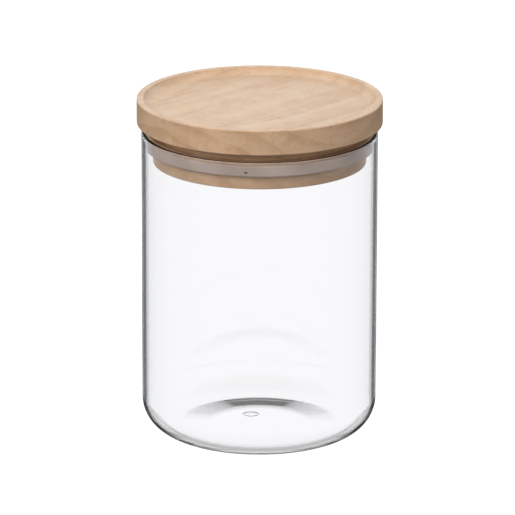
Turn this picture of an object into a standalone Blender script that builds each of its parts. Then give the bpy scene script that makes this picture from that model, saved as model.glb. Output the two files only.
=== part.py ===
"""Lidded glass canister: a round glass jar, a turned wooden lid, and the silicone ring that seals it.

Metres, +Z up. The origin is the centre of the jar's base, on the surface that the jar stands on.
Every piece is turned about Z, which is also the line that the lid lifts along and turns about.
"""

import math

import bpy

MM = 0.001

# Glass jar
JAR_RADIUS = 50.0 * MM
JAR_HEIGHT = 131.75 * MM
WALL = 1.8 * MM
FLOOR = 2.3 * MM
BASE_CORNER_RADIUS = 14.0 * MM
FLOOR_CORNER_RADIUS = 12.2 * MM
STANDING_RING_WIDTH = 1.0 * MM
PUSH_UP_HEIGHT = 0.9 * MM
PUSH_UP_RAMP = 14.0 * MM

# Silicone ring
SEAL_HEIGHT = 5.0 * MM
SEAL_BELOW_RIM = 1.55 * MM
SEAL_EDGE_RADIUS = 0.6 * MM

# Wooden lid
HEAD_OVERHANG = 2.0 * MM
HEAD_HEIGHT = 10.75 * MM
HEAD_ABOVE_RIM = 3.75 * MM
HEAD_EDGE_RADIUS = 0.6 * MM
RIM_LAND = 2.8 * MM
DISH_DEPTH = 2.8 * MM
COLLAR_CLEARANCE = 0.8 * MM
COLLAR_HEIGHT = 0.9 * MM
NECK_DEPTH = 3.0 * MM
PLUG_CLEARANCE = 3.1 * MM
PLUG_FOOT_HEIGHT = 5.8 * MM
PLUG_EDGE_RADIUS = 0.6 * MM
GROOVE_DEPTH = 1.5 * MM

# Clearance between touching pieces
GAP = 0.3 * MM

# Mesh fineness
TURN_STEPS = 72
CORNER_STEPS = 8
EDGE_STEPS = 3
MERGE_DISTANCE = 0.00001

# Sizes that follow from the ones above
BORE_RADIUS = JAR_RADIUS - WALL
COLLAR_RADIUS = BORE_RADIUS - COLLAR_CLEARANCE
NECK_RADIUS = COLLAR_RADIUS - NECK_DEPTH
PLUG_RADIUS = BORE_RADIUS - PLUG_CLEARANCE
GROOVE_RADIUS = PLUG_RADIUS - GROOVE_DEPTH
HEAD_RADIUS = JAR_RADIUS + HEAD_OVERHANG
SEAL_TOP = JAR_HEIGHT - SEAL_BELOW_RIM
SEAL_BOTTOM = SEAL_TOP - SEAL_HEIGHT
GROOVE_TOP = SEAL_TOP + GAP
GROOVE_BOTTOM = SEAL_BOTTOM - GAP
COLLAR_TOP = GROOVE_TOP + COLLAR_HEIGHT
PLUG_BOTTOM = GROOVE_BOTTOM - PLUG_FOOT_HEIGHT
HEAD_BOTTOM = JAR_HEIGHT + HEAD_ABOVE_RIM
HEAD_TOP = HEAD_BOTTOM + HEAD_HEIGHT
DISH_FLOOR = HEAD_TOP - DISH_DEPTH


def clear_scene():
    """Remove every object that the scene starts with."""
    for obj in list(bpy.data.objects):
        bpy.data.objects.remove(obj, do_unlink=True)


def new_collection(name):
    """Make a collection in the scene and return it."""
    collection = bpy.data.collections.new(name)
    bpy.context.scene.collection.children.link(collection)
    return collection


def make_material(name, color, roughness, metallic=0.0, transmission=0.0):
    """Return a Principled material of one colour."""
    material = bpy.data.materials.new(name)
    material.use_nodes = True
    shader = material.node_tree.nodes["Principled BSDF"]
    shader.inputs["Base Color"].default_value = (*color, 1.0)
    shader.inputs["Roughness"].default_value = roughness
    shader.inputs["Metallic"].default_value = metallic
    shader.inputs["Transmission Weight"].default_value = transmission
    return material


def arc(centre, radius, start, end, steps):
    """Return points on an arc in the (radius, height) plane, from one angle in degrees to another."""
    points = []
    for step in range(steps + 1):
        angle = math.radians(start + (end - start) * step / steps)
        points.append((centre[0] + radius * math.cos(angle), centre[1] + radius * math.sin(angle)))
    return points


def turned_object(name, profile, height, material, collection):
    """Turn a closed profile of (radius, height) points about Z, with the object's origin on Z at a height.

    The profile runs down the outer side. A side of it that lies on the axis is left out.
    """
    vertices = [(radius, 0.0, z - height) for radius, z in profile]
    sides = [(i, (i + 1) % len(profile)) for i in range(len(profile))]
    edges = [(a, b) for a, b in sides if profile[a][0] > 0.0 or profile[b][0] > 0.0]
    mesh = bpy.data.meshes.new(name)
    mesh.from_pydata(vertices, edges, [])
    mesh.materials.append(material)
    obj = bpy.data.objects.new(name, mesh)
    obj.location = (0.0, 0.0, height)
    collection.objects.link(obj)
    screw = obj.modifiers.new("turn", "SCREW")
    screw.axis = "Z"
    screw.angle = 2.0 * math.pi
    screw.steps = TURN_STEPS
    screw.render_steps = TURN_STEPS
    screw.use_merge_vertices = True
    screw.merge_threshold = MERGE_DISTANCE
    screw.use_smooth_shade = True
    return obj


def jar_profile():
    """Outline of the glass, from the round lip down the outside, under the base, and back up inside."""
    lip_radius = WALL / 2.0
    lip_centre = (JAR_RADIUS - lip_radius, JAR_HEIGHT - lip_radius)
    base_flat = JAR_RADIUS - BASE_CORNER_RADIUS
    ring_inside = base_flat - STANDING_RING_WIDTH
    push_up_radius = ring_inside - PUSH_UP_RAMP
    floor_flat = BORE_RADIUS - FLOOR_CORNER_RADIUS
    outside = arc(lip_centre, lip_radius, 90.0, 0.0, EDGE_STEPS)
    outside += arc((base_flat, BASE_CORNER_RADIUS), BASE_CORNER_RADIUS, 0.0, -90.0, CORNER_STEPS)
    underside = [(ring_inside, 0.0), (push_up_radius, PUSH_UP_HEIGHT), (0.0, PUSH_UP_HEIGHT)]
    floor_corner = (floor_flat, FLOOR + FLOOR_CORNER_RADIUS)
    inside = [(0.0, FLOOR)]
    inside += arc(floor_corner, FLOOR_CORNER_RADIUS, -90.0, 0.0, CORNER_STEPS)
    inside += arc(lip_centre, lip_radius, 180.0, 90.0, EDGE_STEPS)[:-1]
    return outside + underside + inside


def seal_profile():
    """Outline of the ring's section, a rectangle with rounded corners, from its top edge clockwise."""
    inner = GROOVE_RADIUS + GAP
    outer = BORE_RADIUS - GAP
    edge = SEAL_EDGE_RADIUS
    top_out = arc((outer - edge, SEAL_TOP - edge), edge, 90.0, 0.0, EDGE_STEPS)
    bottom_out = arc((outer - edge, SEAL_BOTTOM + edge), edge, 0.0, -90.0, EDGE_STEPS)
    bottom_in = arc((inner + edge, SEAL_BOTTOM + edge), edge, -90.0, -180.0, EDGE_STEPS)
    top_in = arc((inner + edge, SEAL_TOP - edge), edge, 180.0, 90.0, EDGE_STEPS)
    return top_out + bottom_out + bottom_in + top_in


def lid_profile():
    """Outline of the wood, from the centre of the dish out over the rim and down to the plug's foot."""
    dish_radius = HEAD_RADIUS - RIM_LAND
    head_edge = HEAD_RADIUS - HEAD_EDGE_RADIUS
    dish = [(0.0, DISH_FLOOR)]
    dish += arc((dish_radius - DISH_DEPTH, HEAD_TOP), DISH_DEPTH, -90.0, 0.0, EDGE_STEPS)
    head = arc((head_edge, HEAD_TOP - HEAD_EDGE_RADIUS), HEAD_EDGE_RADIUS, 90.0, 0.0, EDGE_STEPS)
    head += arc((head_edge, HEAD_BOTTOM + HEAD_EDGE_RADIUS), HEAD_EDGE_RADIUS, 0.0, -90.0, EDGE_STEPS)
    neck = [(NECK_RADIUS, HEAD_BOTTOM), (NECK_RADIUS, COLLAR_TOP), (COLLAR_RADIUS, COLLAR_TOP)]
    groove = [
        (COLLAR_RADIUS, GROOVE_TOP),
        (GROOVE_RADIUS, GROOVE_TOP),
        (GROOVE_RADIUS, GROOVE_BOTTOM),
        (PLUG_RADIUS, GROOVE_BOTTOM),
    ]
    foot_edge = (PLUG_RADIUS - PLUG_EDGE_RADIUS, PLUG_BOTTOM + PLUG_EDGE_RADIUS)
    foot = arc(foot_edge, PLUG_EDGE_RADIUS, 0.0, -90.0, EDGE_STEPS)
    return dish + head + neck + groove + foot + [(0.0, PLUG_BOTTOM)]


def make_lid_axis(collection):
    """Return the empty on the jar's axis, level with its rim, that the lid and its ring lift and turn on."""
    axis = bpy.data.objects.new("lid_axis", None)
    axis.location = (0.0, 0.0, JAR_HEIGHT)
    collection.objects.link(axis)
    return axis


def hang_on(child, parent):
    """Parent one object to another and keep the child where it is."""
    bpy.context.view_layer.update()
    child.parent = parent
    child.matrix_parent_inverse = parent.matrix_world.inverted()


def main():
    """Build the jar, its sealing ring and its lid."""
    clear_scene()
    canister = new_collection("lidded_glass_canister")
    glass = make_material("clear_glass", (0.97, 0.98, 0.98), 0.02, transmission=1.0)
    silicone = make_material("silicone", (0.42, 0.37, 0.33), 0.55)
    wood = make_material("wood", (0.62, 0.41, 0.26), 0.6)
    turned_object("glass_jar", jar_profile(), 0.0, glass, canister)
    seal = turned_object("seal_ring", seal_profile(), SEAL_BOTTOM, silicone, canister)
    lid = turned_object("wooden_lid", lid_profile(), PLUG_BOTTOM, wood, canister)
    axis = make_lid_axis(canister)
    hang_on(seal, axis)
    hang_on(lid, axis)


main()
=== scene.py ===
"""Looks of a lidded glass canister: clear blown glass, a grey silicone ring and a turned wooden lid.

Lengths are in metres, +Z is up, and the origin is the centre of the jar's base. Each finely turned
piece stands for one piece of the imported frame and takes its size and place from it.
"""

from __future__ import annotations

import logging
import math
from dataclasses import dataclass, field
from enum import Enum

import bmesh
import bpy
from mathutils import Euler, Matrix, Vector


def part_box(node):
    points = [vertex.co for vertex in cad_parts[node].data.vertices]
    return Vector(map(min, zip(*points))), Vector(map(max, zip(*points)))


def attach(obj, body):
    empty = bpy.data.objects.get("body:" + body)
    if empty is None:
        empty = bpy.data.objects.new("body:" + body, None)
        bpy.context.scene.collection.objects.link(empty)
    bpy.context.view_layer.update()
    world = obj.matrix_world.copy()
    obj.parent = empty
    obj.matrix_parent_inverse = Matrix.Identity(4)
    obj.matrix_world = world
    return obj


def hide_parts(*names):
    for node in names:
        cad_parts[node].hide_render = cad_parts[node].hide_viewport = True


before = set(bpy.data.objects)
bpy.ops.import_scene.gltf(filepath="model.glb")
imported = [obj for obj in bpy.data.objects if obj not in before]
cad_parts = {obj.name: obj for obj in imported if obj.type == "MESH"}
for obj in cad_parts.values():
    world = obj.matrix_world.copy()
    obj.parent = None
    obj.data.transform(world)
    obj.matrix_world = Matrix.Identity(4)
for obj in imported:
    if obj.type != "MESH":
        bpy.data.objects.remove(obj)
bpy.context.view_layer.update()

MM = 0.001
HOLD_REACH = 0.08 * MM
LOG = logging.getLogger("canister")

Span = tuple[float, float]
Triple = tuple[float, float, float]
Rgba = tuple[float, float, float, float]


class Body(Enum):
    """The moving bodies of the frame."""

    JAR = "jar"
    SEAL = "seal"
    LID = "lid"


class Slot(Enum):
    """The material slots that the record names."""

    GLASS = "clear_glass"
    SILICONE = "silicone"
    WOOD = "light_wood"


# ---------------------------------------------------------------- turned meshes


@dataclass(frozen=True)
class Corner:
    """A point of a turned outline, and the arc that it is rounded with."""

    radius: float
    height: float
    rounding: float = 0.0
    segments: int = 6


def hold_straight_sides(mesh: bmesh.types.BMesh, reach: float) -> None:
    """Splits each long straight side close to its ends, so that the corners don't bend its shading.

    Args:
        mesh: The outline, before it is turned.
        reach: How far from the corner the split is.
    """
    for side in list(mesh.edges):
        if side.calc_length() > 4.0 * reach:
            for end in list(side.verts):
                if end.co.x > 0.0:
                    bmesh.utils.edge_split(side, end, reach / side.calc_length())


def turned(name: str, corners: list[Corner], closed: bool, steps: int) -> bpy.types.Object:
    """Turns an outline about Z into a smooth closed mesh.

    Args:
        name: The new object's name.
        corners: The outline, with its rounding.
        closed: Whether the outline closes on itself. If not, both of its ends are on the axis.
        steps: How many sides the full turn has.

    Returns:
        The new object, at the origin.
    """
    mesh = bmesh.new()
    points = [mesh.verts.new((corner.radius, 0.0, corner.height)) for corner in corners]
    ends = zip(points, points[1:] + points[:1]) if closed else zip(points, points[1:])
    for first, second in ends:
        if first.co.x > 0.0 or second.co.x > 0.0:
            mesh.edges.new((first, second))
    for point, corner in zip(points, corners):
        if corner.rounding > 0.0:
            bmesh.ops.bevel(
                mesh,
                geom=[point],
                offset=corner.rounding,
                offset_type="OFFSET",
                segments=corner.segments,
                profile=0.5,
                affect="VERTICES",
                material=-1,
            )
    hold_straight_sides(mesh, HOLD_REACH)
    bmesh.ops.spin(
        mesh,
        geom=mesh.verts[:] + mesh.edges[:],
        cent=(0.0, 0.0, 0.0),
        axis=(0.0, 0.0, 1.0),
        angle=2.0 * math.pi,
        steps=steps,
        use_merge=True,
    )
    bmesh.ops.remove_doubles(mesh, verts=mesh.verts[:], dist=0.001 * MM)
    bmesh.ops.recalc_face_normals(mesh, faces=mesh.faces[:])
    return finished(name, mesh)


def finished(name: str, mesh: bmesh.types.BMesh) -> bpy.types.Object:
    """Puts a built mesh into a new smooth-shaded object at the origin.

    Args:
        name: The new object's name.
        mesh: The mesh, which is freed.

    Returns:
        The new object.
    """
    data = bpy.data.meshes.new(name)
    mesh.to_mesh(data)
    mesh.free()
    data.shade_smooth()
    made = bpy.data.objects.new(name, data)
    bpy.context.scene.collection.objects.link(made)
    return made


# ---------------------------------------------------------------- node helpers


class Graph:
    """A node tree being built. An input takes a plain value or another node's output."""

    def __init__(self, tree: bpy.types.NodeTree) -> None:
        """Starts on an empty tree."""
        self.tree = tree
        self.tree.nodes.clear()

    def add(self, kind: str, inputs: dict | None = None, **settings: object) -> bpy.types.Node:
        """Adds one node.

        Args:
            kind: The node's type name.
            inputs: Values or sockets by input name or number.
            settings: The node's own settings.

        Returns:
            The new node.
        """
        node = self.tree.nodes.new(kind)
        for name, value in settings.items():
            setattr(node, name, value)
        for key, value in (inputs or {}).items():
            if isinstance(value, bpy.types.NodeSocket):
                self.tree.links.new(value, node.inputs[key])
            else:
                node.inputs[key].default_value = value
        return node

    def math(self, operation: str, *values: object) -> bpy.types.NodeSocket:
        """Adds a Math node on the values given and returns its result."""
        return self.add("ShaderNodeMath", dict(enumerate(values)), operation=operation).outputs[0]

    def vector(self, operation: str, *values: object) -> bpy.types.NodeSocket:
        """Adds a Vector Math node on the values given and returns the vector it gives."""
        return self.add("ShaderNodeVectorMath", dict(enumerate(values)), operation=operation).outputs[0]

    def length(self, vector: bpy.types.NodeSocket) -> bpy.types.NodeSocket:
        """Returns a vector's length."""
        return self.add("ShaderNodeVectorMath", {0: vector}, operation="LENGTH").outputs["Value"]

    def remap(self, value: object, start: Span, end: Span) -> bpy.types.NodeSocket:
        """Maps one range onto another with a smooth step, and clamps it.

        Args:
            value: The socket to map.
            start: The lowest and highest value that come in.
            end: What they become.

        Returns:
            The mapped value.
        """
        inputs = {0: value, 1: start[0], 2: start[1], 3: end[0], 4: end[1]}
        return self.add("ShaderNodeMapRange", inputs, interpolation_type="SMOOTHSTEP").outputs[0]

    def mix(self, share: object, first: object, second: object) -> bpy.types.NodeSocket:
        """Mixes two colours.

        Args:
            share: How much of the second colour.
            first: The first colour.
            second: The second colour.

        Returns:
            The mixed colour.
        """
        return self.add("ShaderNodeMix", {0: share, 6: first, 7: second}, data_type="RGBA").outputs[2]

    def mix_value(self, share: object, first: object, second: object) -> bpy.types.NodeSocket:
        """Mixes two numbers and returns the result."""
        return self.add("ShaderNodeMix", {0: share, 2: first, 3: second}, data_type="FLOAT").outputs[0]

    def noise(
        self, where: object, scale: float, detail: float = 2.0, rough: float = 0.5, bend: float = 0.0
    ) -> bpy.types.NodeSocket:
        """Adds a noise pattern.

        Args:
            where: The coordinates that it reads.
            scale: How many times it repeats in a metre.
            detail: How many finer layers it has.
            rough: How strong the finer layers are.
            bend: How far it is distorted.

        Returns:
            Its value, about 0 to 1.
        """
        inputs = {"Vector": where, "Scale": scale, "Detail": detail, "Roughness": rough, "Distortion": bend}
        return self.add("ShaderNodeTexNoise", inputs).outputs["Fac"]


def new_material(name: str) -> tuple[bpy.types.Material, Graph]:
    """Makes a material with an empty node tree.

    Args:
        name: The material's name.

    Returns:
        The material and its graph.
    """
    material = bpy.data.materials.new(name)
    material.use_nodes = True
    return material, Graph(material.node_tree)


def shade(value: float) -> Rgba:
    """Returns an opaque grey."""
    return (value, value, value, 1.0)


def handling_marks() -> bpy.types.ShaderNodeTree:
    """The effect that all finishes share: the faint uneven gloss of a surface that hands have touched.

    Returns:
        A node group with inputs Vector, Scale, Low and High, and an output Roughness.
    """
    name = "handling_marks"
    if name in bpy.data.node_groups:
        return bpy.data.node_groups[name]
    group = bpy.data.node_groups.new(name, "ShaderNodeTree")
    group.interface.new_socket("Vector", in_out="INPUT", socket_type="NodeSocketVector")
    for label in ("Scale", "Low", "High"):
        group.interface.new_socket(label, in_out="INPUT", socket_type="NodeSocketFloat")
    group.interface.new_socket("Roughness", in_out="OUTPUT", socket_type="NodeSocketFloat")
    graph = Graph(group)
    given = graph.add("NodeGroupInput").outputs
    broad = graph.noise(given["Vector"], 1.0, 4.0, 0.6)
    graph.tree.links.new(given["Scale"], broad.node.inputs["Scale"])
    spread = graph.remap(broad, (0.35, 0.65), (0.0, 1.0))
    graph.add("NodeGroupOutput", {0: graph.mix_value(spread, given["Low"], given["High"])})
    return group


def uneven_gloss(
    graph: Graph, place: bpy.types.NodeSocket, scale: float, roughness: Span
) -> bpy.types.NodeSocket:
    """Adds the shared handling marks to a material.

    Args:
        graph: The material's graph.
        place: Object coordinates.
        scale: How many times the marks repeat in a metre.
        roughness: The roughness where it is cleanest and where it is most handled.

    Returns:
        The roughness.
    """
    inputs = {"Vector": place, "Scale": scale, "Low": roughness[0], "High": roughness[1]}
    return graph.add("ShaderNodeGroup", inputs, node_tree=handling_marks()).outputs["Roughness"]


# ---------------------------------------------------------------- finishes


@dataclass(frozen=True)
class GlassFinish:
    """Clear colourless glass, with a painted dark line on its outer face where it is seen along the
    surface, which stands in for the dark surroundings seen through the edge of the wall.

    A facing value is 0 where a face is seen head-on and 1 where it is seen edge-on.
    """

    index: float = 1.47
    tint: Rgba = (0.996, 0.996, 0.999, 1.0)
    # painted shade: the colour of the dark line near the wall's outline, standing in for dark surroundings
    # seen through the glass
    edge_painted_shade: Rgba = (0.05, 0.054, 0.06, 1.0)
    edge_starts: Span = (0.712, 0.765)
    edge_ends: Span = (0.83, 0.90)
    edge_left: float = 0.05
    outer_face: Span = (49.2 * MM, 49.5 * MM)
    lip_starts: Span = (130.2 * MM, 130.7 * MM)
    shadow_tint: float = 0.99
    wave_scale: float = 22.0
    relief_depth: float = 0.2 * MM
    relief_strength: float = 0.25
    mark_place: Triple = (-3.4 * MM, 9.0 * MM, 1.5 * MM)
    mark_radius: float = 3.0 * MM
    mark_edge: float = 1.0 * MM
    mark_height: float = 1.8
    smear_scale: float = 60.0
    smears: Span = (0.0, 0.012)

    def build(self) -> bpy.types.Material:
        """Returns the finished material."""
        material, graph = new_material(Slot.GLASS.value)
        place = graph.add("ShaderNodeTexCoord").outputs["Object"]
        relief = graph.math("ADD", graph.noise(place, self.wave_scale, 1.0), self.mould_mark(graph, place))
        bump = {"Strength": self.relief_strength, "Distance": self.relief_depth, "Height": relief}
        surface = graph.add(
            "ShaderNodeBsdfPrincipled",
            {
                # Base Color darkened near the wall's outline by painted shade
                "Base Color": graph.mix(self.painted_dark_edge(graph, place), self.tint, self.edge_painted_shade),
                "Roughness": uneven_gloss(graph, place, self.smear_scale, self.smears),
                "Metallic": 0.0,
                "IOR": self.index,
                "Transmission Weight": 1.0,
                "Normal": graph.add("ShaderNodeBump", bump).outputs[0],
            },
        )
        clear = graph.add("ShaderNodeBsdfTransparent", {"Color": shade(self.shadow_tint)})
        shadow = graph.add("ShaderNodeLightPath").outputs["Is Shadow Ray"]
        both = graph.add("ShaderNodeMixShader", {0: shadow, 1: surface.outputs[0], 2: clear.outputs[0]})
        graph.add("ShaderNodeOutputMaterial", {"Surface": both.outputs[0]})
        return material

    def painted_dark_edge(self, graph: Graph, place: bpy.types.NodeSocket) -> bpy.types.NodeSocket:
        """The painted shade: a narrow dark line just inside the outline of the wall, standing in for the
        dark surroundings seen through it, which leaves the lip clear.

        Args:
            graph: The material's graph.
            place: Object coordinates.

        Returns:
            1 in the line and 0 outside.
        """
        height = graph.add("ShaderNodeSeparateXYZ", {0: place}).outputs["Z"]
        radius = graph.length(graph.vector("MULTIPLY", place, (1.0, 1.0, 0.0)))
        facing = graph.add("ShaderNodeLayerWeight", {"Blend": 0.5}).outputs["Facing"]
        line = graph.math(
            "MULTIPLY",
            graph.remap(facing, self.edge_starts, (0.0, 1.0)),
            graph.remap(facing, self.edge_ends, (1.0, self.edge_left)),
        )
        line = graph.math("MULTIPLY", line, graph.remap(radius, self.outer_face, (0.0, 1.0)))
        return graph.math("MULTIPLY", line, graph.remap(height, self.lip_starts, (1.0, 0.0)))

    def mould_mark(self, graph: Graph, place: bpy.types.NodeSocket) -> bpy.types.NodeSocket:
        """The faint round mark that the mould leaves in the base, a little off its centre.

        Args:
            graph: The material's graph.
            place: Object coordinates.

        Returns:
            How far the glass stands proud, as a share of the relief's depth.
        """
        away = graph.length(graph.vector("SUBTRACT", place, self.mark_place))
        edge = (self.mark_radius, self.mark_radius + self.mark_edge)
        return graph.remap(away, edge, (self.mark_height, 0.0))


@dataclass(frozen=True)
class SiliconeFinish:
    """Translucent matte silicone, a warm grey with the wood behind it, with one small sunk notch whose dark
    colour is painted shade over the wood's brown seen through it.
    """

    color: Rgba = (0.425, 0.342, 0.295, 1.0)
    deep_color: Rgba = (0.32, 0.25, 0.208, 1.0)
    cloud_scale: float = 45.0
    skin_scale: float = 1500.0
    skin_depth: float = 0.08 * MM
    # painted shade: the dark inside the small notch, over the wood's brown seen through it
    notch_shade_color: Rgba = (0.10, 0.04, 0.02, 1.0)
    notch_place: Triple = (-5.7 * MM, -47.5 * MM, 127.05 * MM)
    notch_size: Triple = (0.85 * MM, 2.0 * MM, 0.6 * MM)
    notch_depth: float = 3.0
    marks_scale: float = 120.0
    gloss: Span = (0.42, 0.6)

    def build(self) -> bpy.types.Material:
        """Returns the finished material."""
        material, graph = new_material(Slot.SILICONE.value)
        place = graph.add("ShaderNodeTexCoord").outputs["Object"]
        cloud = graph.remap(graph.noise(place, self.cloud_scale), (0.3, 0.7), (0.0, 1.0))
        notch_shade = self.painted_notch_shade(graph, place)
        # the notch is painted dark: painted shade over the wood's brown seen through it
        color = graph.mix(notch_shade, graph.mix(cloud, self.color, self.deep_color), self.notch_shade_color)
        sunk = graph.math("MULTIPLY", notch_shade, self.notch_depth)
        relief = graph.math("SUBTRACT", graph.noise(place, self.skin_scale, 3.0), sunk)
        bump = {"Strength": 0.3, "Distance": self.skin_depth, "Height": relief}
        surface = graph.add(
            "ShaderNodeBsdfPrincipled",
            {
                "Base Color": color,
                "Roughness": uneven_gloss(graph, place, self.marks_scale, self.gloss),
                "IOR": 1.41,
                "Specular IOR Level": 0.25,
                "Subsurface Weight": 0.25,
                "Subsurface Radius": (1.0, 0.8, 0.7),
                "Subsurface Scale": 1.5 * MM,
                "Normal": graph.add("ShaderNodeBump", bump).outputs[0],
            },
        )
        graph.add("ShaderNodeOutputMaterial", {"Surface": surface.outputs[0]})
        return material

    def painted_notch_shade(self, graph: Graph, place: bpy.types.NodeSocket) -> bpy.types.NodeSocket:
        """The small notch that is sunk into the ring's front, with the wood's brown seen through it
        darkened by painted shade.

        Args:
            graph: The material's graph.
            place: Object coordinates.

        Returns:
            1 in the spot and 0 outside.
        """
        offset = graph.vector("SUBTRACT", place, self.notch_place)
        away = graph.length(graph.vector("DIVIDE", offset, self.notch_size))
        return graph.remap(away, (0.65, 1.0), (1.0, 0.0))


@dataclass(frozen=True)
class WoodFinish:
    """Pale sanded hardwood, with its grain across the lid and its pores open on the turned side.

    A scale gives the repeats in a metre, along the grain and then across it. A share is how much a
    pattern darkens the wood.
    """

    light: Rgba = (0.484, 0.318, 0.196, 1.0)
    dark: Rgba = (0.385, 0.230, 0.130, 1.0)
    pore: Rgba = (0.20, 0.11, 0.062, 1.0)
    grain_degrees: float = 47.0
    tilt_degrees: float = 4.0
    grain_bend: float = 0.35
    ring_share: float = 0.14
    ring_spacing: float = 8.0 * MM
    ring_wander: float = 22.0 * MM
    wander_scale: Triple = (7.0, 22.0, 22.0)
    pith_height: float = 70.0 * MM
    pith_aside: float = 10.0 * MM
    broad_share: float = 0.36
    broad_scale: Triple = (11.0, 95.0, 95.0)
    streak_share: float = 0.38
    streak_scale: Triple = (16.0, 260.0, 260.0)
    fibre_share: float = 0.34
    fibre_scale: Triple = (120.0, 2400.0, 2400.0)
    tone_range: Span = (0.42, 0.78)
    pore_share: float = 0.6
    pore_scale: Triple = (260.0, 1500.0, 1500.0)
    relief_depth: float = 0.1 * MM
    polish_starts: Span = (134.5 * MM, 135.5 * MM)
    polish: Span = (0.1, 0.5)
    marks_scale: float = 90.0
    gloss: Span = (0.40, 0.52)

    def build(self) -> bpy.types.Material:
        """Returns the finished material, polished on the head and dull on the plug."""
        material, graph = new_material(Slot.WOOD.value)
        place = graph.add("ShaderNodeTexCoord").outputs["Object"]
        height = graph.add("ShaderNodeSeparateXYZ", {0: place}).outputs["Z"]
        turn = (0.0, math.radians(self.tilt_degrees), math.radians(-self.grain_degrees))
        along = graph.add("ShaderNodeMapping", {"Vector": place, "Rotation": turn}).outputs[0]
        fibres = self.stretched(graph, along, self.fibre_scale)
        pores = self.pores(graph, along)
        color = graph.mix(self.tone(graph, along, fibres), self.light, self.dark)
        color = graph.mix(graph.math("MULTIPLY", pores, self.pore_share), color, self.pore)
        relief = graph.math("SUBTRACT", graph.math("MULTIPLY", fibres, 0.5), pores)
        bump = {"Strength": 0.3, "Distance": self.relief_depth, "Height": relief}
        surface = graph.add(
            "ShaderNodeBsdfPrincipled",
            {
                "Base Color": color,
                "Roughness": uneven_gloss(graph, place, self.marks_scale, self.gloss),
                "Specular IOR Level": graph.remap(height, self.polish_starts, self.polish),
                "IOR": 1.5,
                "Normal": graph.add("ShaderNodeBump", bump).outputs[0],
            },
        )
        graph.add("ShaderNodeOutputMaterial", {"Surface": surface.outputs[0]})
        return material

    def tone(
        self, graph: Graph, along: bpy.types.NodeSocket, fibres: bpy.types.NodeSocket
    ) -> bpy.types.NodeSocket:
        """Adds up the patterns that darken the wood.

        Args:
            graph: The material's graph.
            along: Coordinates whose X runs along the grain.
            fibres: The finest pattern.

        Returns:
            0 where the wood is palest, to 1 where it is darkest.
        """
        patterns = (
            (self.rings(graph, along), self.ring_share),
            (self.stretched(graph, along, self.broad_scale), self.broad_share),
            (self.stretched(graph, along, self.streak_scale, 3.0), self.streak_share),
            (fibres, self.fibre_share),
        )
        total = 0.0
        for pattern, share in patterns:
            total = graph.math("MULTIPLY_ADD", pattern, share, total)
        return graph.remap(total, self.tone_range, (0.0, 1.0))

    def rings(self, graph: Graph, along: bpy.types.NodeSocket) -> bpy.types.NodeSocket:
        """Growth rings round a pith below the lid, bent by a slow wander.

        Args:
            graph: The material's graph.
            along: Coordinates whose X runs along the grain.

        Returns:
            0 in early wood to 1 in late wood.
        """
        slow = graph.add("ShaderNodeMapping", {"Vector": along, "Scale": self.wander_scale}).outputs[0]
        wander = graph.add("ShaderNodeTexNoise", {"Vector": slow, "Scale": 1.0, "Detail": 2.0})
        shift = graph.vector("SUBTRACT", wander.outputs["Color"], (0.5, 0.5, 0.5))
        shift = graph.vector("MULTIPLY", shift, (self.ring_wander, self.ring_wander, self.ring_wander))
        bent = graph.vector("ADD", along, shift)
        centred = graph.vector("SUBTRACT", bent, (0.0, self.pith_aside, self.pith_height))
        radius = graph.length(graph.vector("MULTIPLY", centred, (0.0, 1.0, 1.0)))
        saw = graph.math("FRACT", graph.math("DIVIDE", radius, self.ring_spacing))
        late = graph.remap(saw, (0.35, 0.92), (0.0, 1.0))
        return graph.math("MULTIPLY", late, graph.remap(saw, (0.94, 1.0), (1.0, 0.0)))

    def stretched(
        self, graph: Graph, along: bpy.types.NodeSocket, scale: Triple, detail: float = 2.0
    ) -> bpy.types.NodeSocket:
        """Noise drawn out along the grain.

        Args:
            graph: The material's graph.
            along: Coordinates whose X runs along the grain.
            scale: Repeats in a metre along and across the grain.
            detail: How many finer layers it has.

        Returns:
            A value, about 0 to 1.
        """
        drawn = graph.add("ShaderNodeMapping", {"Vector": along, "Scale": scale}).outputs[0]
        return graph.noise(drawn, 1.0, detail, bend=self.grain_bend)

    def pores(self, graph: Graph, along: bpy.types.NodeSocket) -> bpy.types.NodeSocket:
        """Short open pores along the grain, which show as dots on the end grain.

        Args:
            graph: The material's graph.
            along: Coordinates whose X runs along the grain.

        Returns:
            1 in a pore and 0 outside.
        """
        drawn = graph.add("ShaderNodeMapping", {"Vector": along, "Scale": self.pore_scale}).outputs[0]
        cells = graph.add("ShaderNodeTexVoronoi", {"Vector": drawn, "Scale": 1.0})
        near = graph.remap(cells.outputs["Distance"], (0.16, 0.30), (1.0, 0.0))
        chosen = graph.add("ShaderNodeSeparateColor", {0: cells.outputs["Color"]}).outputs[0]
        return graph.math("MULTIPLY", near, graph.remap(chosen, (0.60, 0.75), (0.0, 1.0)))


# ---------------------------------------------------------------- the pieces


@dataclass
class Piece:
    """A piece of the object that stands for one node of the frame."""

    node: str
    body: Body
    slot: Slot
    low: Vector = field(init=False)
    high: Vector = field(init=False)

    def __post_init__(self) -> None:
        """Reads the node's place from the frame."""
        self.low, self.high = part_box(self.node)

    def place(self, made: bpy.types.Object, material: bpy.types.Material) -> bpy.types.Object:
        """Dresses a finished mesh and ties it to the frame.

        Args:
            made: The finished object.
            material: What it is made of.

        Returns:
            The same object.
        """
        made.data.materials.append(material)
        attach(made, self.body.value)
        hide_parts(self.node)
        LOG.info("%s: %d faces, on body %s", made.name, len(made.data.polygons), self.body.value)
        return made


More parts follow.
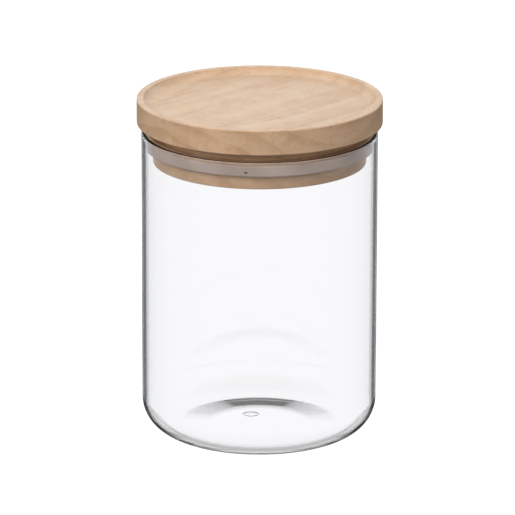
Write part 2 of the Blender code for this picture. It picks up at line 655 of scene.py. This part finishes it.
@dataclass
class GlassJar(Piece):
    """The jar: a straight wall with a softened lip, a rounded base corner and a pushed-up base."""

    node: str = "glass_jar"
    body: Body = Body.JAR
    slot: Slot = Slot.GLASS
    wall: float = 1.8 * MM
    lip: float = 0.36 * MM
    floor: float = 2.3 * MM
    base_corner: float = 14.0 * MM
    floor_corner: float = 12.2 * MM
    standing_ring: float = 0.7 * MM
    standing_edge: float = 0.6 * MM
    push_up: float = 0.87 * MM
    push_up_ramp: float = 16.0 * MM
    push_up_edge: float = 3.0 * MM
    lip_segments: int = 8
    corner_segments: int = 28
    turn_steps: int = 288

    def build(self) -> bpy.types.Object:
        """Returns the finished jar."""
        outer, rim = self.high.x, self.high.z
        bore = outer - self.wall
        ring_inside = outer - self.base_corner - self.standing_ring
        corners = [
            Corner(outer, rim, self.lip, self.lip_segments),
            Corner(outer, 0.0, self.base_corner, self.corner_segments),
            Corner(ring_inside, 0.0, self.standing_edge),
            Corner(ring_inside - self.push_up_ramp, self.push_up, self.push_up_edge),
            Corner(0.0, self.push_up),
            Corner(0.0, self.floor),
            Corner(bore, self.floor, self.floor_corner, self.corner_segments),
            Corner(bore, rim, self.lip, self.lip_segments),
        ]
        made = turned("jar", corners, True, self.turn_steps)
        return self.place(made, GlassFinish().build())


@dataclass
class SealRing(Piece):
    """The silicone ring: a soft-cornered band pressed between the wood and the glass."""

    node: str = "seal_ring"
    body: Body = Body.SEAL
    slot: Slot = Slot.SILICONE
    thickness: float = 4.0 * MM
    edge: float = 0.7 * MM
    turn_steps: int = 288

    def build(self) -> bpy.types.Object:
        """Returns the finished ring."""
        outer = self.high.x
        inner = outer - self.thickness
        corners = [
            Corner(outer, self.high.z, self.edge),
            Corner(outer, self.low.z, self.edge),
            Corner(inner, self.low.z, self.edge),
            Corner(inner, self.high.z, self.edge),
        ]
        made = turned("sealing_ring", corners, True, self.turn_steps)
        return self.place(made, SiliconeFinish().build())


@dataclass
class WoodenLid(Piece):
    """The lid: a turned head with a dished top, and a plug with a groove for the ring."""

    node: str = "wooden_lid"
    body: Body = Body.LID
    slot: Slot = Slot.WOOD
    head_height: float = 10.75 * MM
    rim_land: float = 2.8 * MM
    dish_depth: float = 2.8 * MM
    cove: float = 2.6 * MM
    wall_lean: float = 1.8 * MM
    edge: float = 0.6 * MM
    dish_edge: float = 0.42 * MM
    collar_edge: float = 0.3 * MM
    crisp_edge: float = 0.18 * MM
    neck_radius: float = 44.4 * MM
    collar_radius: float = 47.6 * MM
    collar_height: float = 1.15 * MM
    plug_radius: float = 45.1 * MM
    groove_radius: float = 43.6 * MM
    groove_bottom: float = 5.8 * MM
    groove_height: float = 5.35 * MM
    cove_segments: int = 12
    turn_steps: int = 288

    def build(self) -> bpy.types.Object:
        """Returns the finished lid."""
        outer, top, foot = self.high.x, self.high.z, self.low.z
        dish_floor = top - self.dish_depth
        groove_low = foot + self.groove_bottom
        groove_high = groove_low + self.groove_height
        dish = outer - self.rim_land
        corners = [
            Corner(0.0, dish_floor),
            Corner(dish - self.wall_lean, dish_floor, self.cove, self.cove_segments),
            Corner(dish, top, self.dish_edge),
            Corner(outer, top, self.edge),
            Corner(outer, top - self.head_height, self.edge),
            Corner(self.neck_radius, top - self.head_height, self.crisp_edge),
            Corner(self.neck_radius, groove_high + self.collar_height, self.crisp_edge),
            Corner(self.collar_radius, groove_high + self.collar_height, self.collar_edge),
            Corner(self.collar_radius, groove_high, self.crisp_edge),
            Corner(self.groove_radius, groove_high),
            Corner(self.groove_radius, groove_low),
            Corner(self.plug_radius, groove_low, self.crisp_edge),
            Corner(self.plug_radius, foot, self.edge),
            Corner(0.0, foot),
        ]
        made = turned("lid", corners, False, self.turn_steps)
        return self.place(made, WoodFinish().build())


# ---------------------------------------------------------------- the studio


@dataclass(frozen=True)
class Studio:
    """A pale floor that glows softly, bright surroundings and one large soft key light.

    Diffuse rays meet fill, mirrored rays meet backdrop and rays through the glass meet through_glass.
    Each gives a brightness for the ground, the horizon and overhead. Angles are in degrees.
    """

    floor_size: float = 8.0
    floor_below: float = 0.2 * MM
    floor_glow: float = 0.85
    seen_light: float = 1.05
    fill: Triple = (0.45, 0.80, 0.70)
    backdrop: Triple = (0.12, 1.8, 4.5)
    through_glass: Triple = (0.50, 1.00, 0.60)
    horizon: Span = (-4.0, 4.0)
    horizon_through_glass: Span = (-58.0, -30.0)
    overhead_starts: Span = (34.0, 60.0)
    sky_color: Rgba = (0.985, 0.988, 1.0, 1.0)
    sheen_color: Rgba = (0.95, 1.0, 0.99, 1.0)
    panel_count: int = 8
    gap_edge: Span = (11.5, 15.0)
    gap_ends: Span = (-10.0, -4.0)
    gap_light: float = 0.06
    key_power: float = 18.0
    key_size: float = 0.9
    key_place: Triple = (-0.62, -1.2, 1.0)

    def build(self) -> None:
        """Makes the floor, the surroundings and the light."""
        self.floor()
        self.surroundings()
        self.key_light()
        view = bpy.context.scene.view_settings
        view.view_transform = "Standard"
        view.look = "None"

    def floor(self) -> None:
        """Lays the floor just under the jar."""
        mesh = bmesh.new()
        lowered = Matrix.Translation((0.0, 0.0, -self.floor_below))
        bmesh.ops.create_grid(mesh, x_segments=1, y_segments=1, size=self.floor_size, matrix=lowered)
        made = finished("studio_floor", mesh)
        material, graph = new_material("pale_floor")
        surface = graph.add(
            "ShaderNodeBsdfPrincipled",
            {
                "Base Color": shade(0.3),
                "Roughness": 0.7,
                "Specular IOR Level": 0.0,
                "Emission Color": shade(1.0),
                "Emission Strength": self.floor_glow,
            },
        )
        graph.add("ShaderNodeOutputMaterial", {"Surface": surface.outputs[0]})
        made.data.materials.append(material)
        made.visible_transmission = False
        made.visible_diffuse = False
        made.visible_glossy = False

    def surroundings(self) -> None:
        """Sets the world: plain to the eye, a backdrop in reflections, and gapped panels through glass."""
        world = bpy.data.worlds.new("studio")
        bpy.context.scene.world = world
        world.use_nodes = True
        graph = Graph(world.node_tree)
        direction = graph.add("ShaderNodeTexCoord").outputs["Generated"]
        axes = graph.add("ShaderNodeSeparateXYZ", {0: direction}).outputs
        height = graph.math("DEGREES", graph.math("ARCSINE", axes["Z"]))
        path = graph.add("ShaderNodeLightPath").outputs
        diffuse = self.band(graph, height, self.horizon, self.fill)
        mirrored = self.band(graph, height, self.horizon, self.backdrop)
        through = self.band(graph, height, self.horizon_through_glass, self.through_glass)
        gap = graph.remap(self.angle_from_panel(graph, axes), self.gap_edge, (0.0, 1.0))
        gap = graph.math("MULTIPLY", gap, graph.remap(height, self.gap_ends, (1.0, 0.0)))
        panel = graph.mix_value(gap, 1.0, self.gap_light)
        straight = graph.math("LESS_THAN", path["Glossy Depth"], 0.5)
        through = graph.math("MULTIPLY", through, graph.mix_value(straight, 1.0, panel))
        strength = graph.mix_value(path["Is Glossy Ray"], diffuse, mirrored)
        strength = graph.mix_value(path["Is Transmission Ray"], strength, through)
        strength = graph.mix_value(path["Is Camera Ray"], strength, self.seen_light)
        color = graph.mix(path["Is Glossy Ray"], self.sky_color, self.sheen_color)
        color = graph.mix(path["Is Transmission Ray"], color, self.sky_color)
        light = graph.add("ShaderNodeBackground", {"Color": color, "Strength": strength})
        graph.add("ShaderNodeOutputWorld", {"Surface": light.outputs[0]})

    def band(
        self, graph: Graph, height: bpy.types.NodeSocket, edge: Span, levels: Triple
    ) -> bpy.types.NodeSocket:
        """How bright the surroundings are at a height above the horizon.

        Args:
            graph: The world's graph.
            height: The height in degrees.
            edge: Where the ground gives way to the horizon, in degrees.
            levels: The brightness of the ground, the horizon and overhead.

        Returns:
            The brightness.
        """
        ground, horizon, overhead = levels
        low = graph.remap(height, edge, (ground, horizon))
        return graph.mix_value(graph.remap(height, self.overhead_starts, (0.0, 1.0)), low, overhead)

    def angle_from_panel(self, graph: Graph, axes: bpy.types.NodeInputs) -> bpy.types.NodeSocket:
        """How far a direction is from the middle of the nearest upright panel, in degrees.

        Args:
            graph: The world's graph.
            axes: The direction's X, Y and Z.

        Returns:
            The angle, from 0 to half the spacing of the panels.
        """
        spacing = 360.0 / self.panel_count
        turned_by = graph.math("DEGREES", graph.math("ARCTAN2", axes["X"], axes["Y"]))
        share = graph.math("FRACT", graph.math("ADD", graph.math("DIVIDE", turned_by, spacing), 0.5))
        return graph.math("MULTIPLY", graph.math("ABSOLUTE", graph.math("SUBTRACT", share, 0.5)), spacing)

    def key_light(self) -> None:
        """Hangs the soft key light in front, above and to the left."""
        lamp = bpy.data.lights.new("key", "AREA")
        lamp.shape = "SQUARE"
        lamp.size = self.key_size
        lamp.energy = self.key_power
        made = bpy.data.objects.new("key", lamp)
        made.location = self.key_place
        made.rotation_euler = (-Vector(self.key_place)).to_track_quat("-Z", "Y").to_euler()
        made.visible_glossy = False
        made.visible_transmission = False
        made.visible_camera = False
        bpy.context.scene.collection.objects.link(made)


@dataclass(frozen=True)
class Camera:
    """A long lens, looking a little down on the jar."""

    distance: float = 2.2225
    elevation_degrees: float = 17.28
    roll_degrees: float = 0.15
    lens: float = 364.8
    aim: Triple = (-0.0008, 0.0, 0.07544)

    def build(self) -> None:
        """Makes the camera and gives it to the scene."""
        data = bpy.data.cameras.new("camera")
        data.lens = self.lens
        data.sensor_width = 36.0
        made = bpy.data.objects.new("camera", data)
        tilt = math.radians(self.elevation_degrees)
        away = Vector((0.0, -math.cos(tilt), math.sin(tilt)))
        made.location = Vector(self.aim) + away * self.distance
        level = Euler((math.radians(90.0 - self.elevation_degrees), 0.0, 0.0)).to_quaternion()
        roll = Euler((0.0, 0.0, math.radians(self.roll_degrees))).to_quaternion()
        made.rotation_euler = (level @ roll).to_euler()
        bpy.context.scene.collection.objects.link(made)
        bpy.context.scene.camera = made


def main() -> None:
    """Builds the pieces, the studio and the camera."""
    logging.basicConfig(level=logging.INFO, format="%(name)s %(message)s")
    GlassJar().build()
    SealRing().build()
    WoodenLid().build()
    Studio().build()
    Camera().build()


if __name__ == "__main__":
    main()
